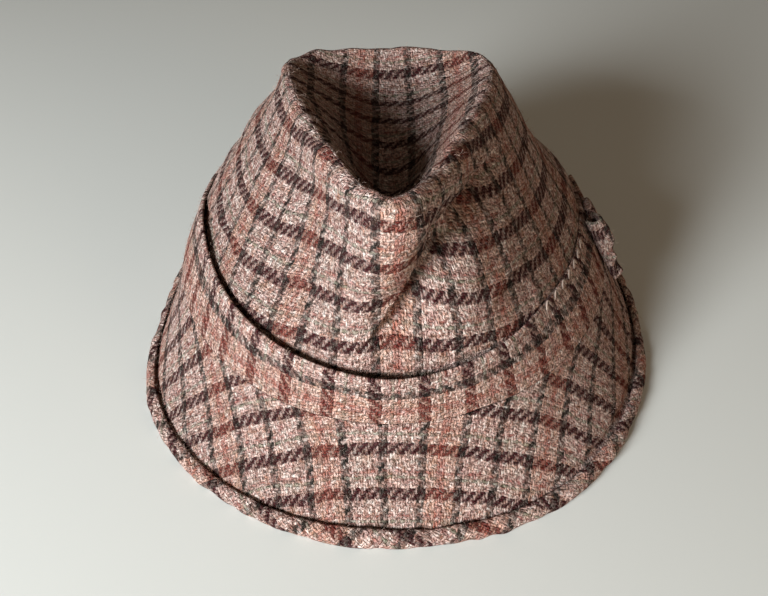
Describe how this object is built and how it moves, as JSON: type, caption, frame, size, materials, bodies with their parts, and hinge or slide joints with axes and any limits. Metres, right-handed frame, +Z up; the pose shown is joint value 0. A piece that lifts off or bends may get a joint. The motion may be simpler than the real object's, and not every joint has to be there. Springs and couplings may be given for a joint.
{
  "type": "tweed trilby hat",
  "caption": "Soft trilby sewn from checked tweed, with a dented and pinched crown, a turned-down brim with a bound edge, a band and a small bow",
  "frame": {"origin": "the middle of the hat's footprint, on the surface that its brim stands on", "axes": "-Y is the front of the hat, +X is the wearer's left, where the bow is, and +Z is up"},
  "size_m": [0.2184, 0.2552, 0.122],
  "materials": {
    "crown_tweed": "woolly checked tweed",
    "tip_tweed": "woolly checked tweed",
    "brim_tweed": "woolly checked tweed",
    "binding_tweed": "tweed cut on the bias and rolled",
    "band_tweed": "woolly checked tweed",
    "bow_tweed": "woolly checked tweed"
  },
  "bodies": {
    "root": {"crown_side": "crown_tweed", "crown_tip": "tip_tweed", "brim": "brim_tweed", "brim_binding": "binding_tweed", "hat_band": "band_tweed", "bow_loop": "bow_tweed", "bow_tail": "bow_tweed", "bow_knot": "bow_tweed"}
  },
  "joints": []
}
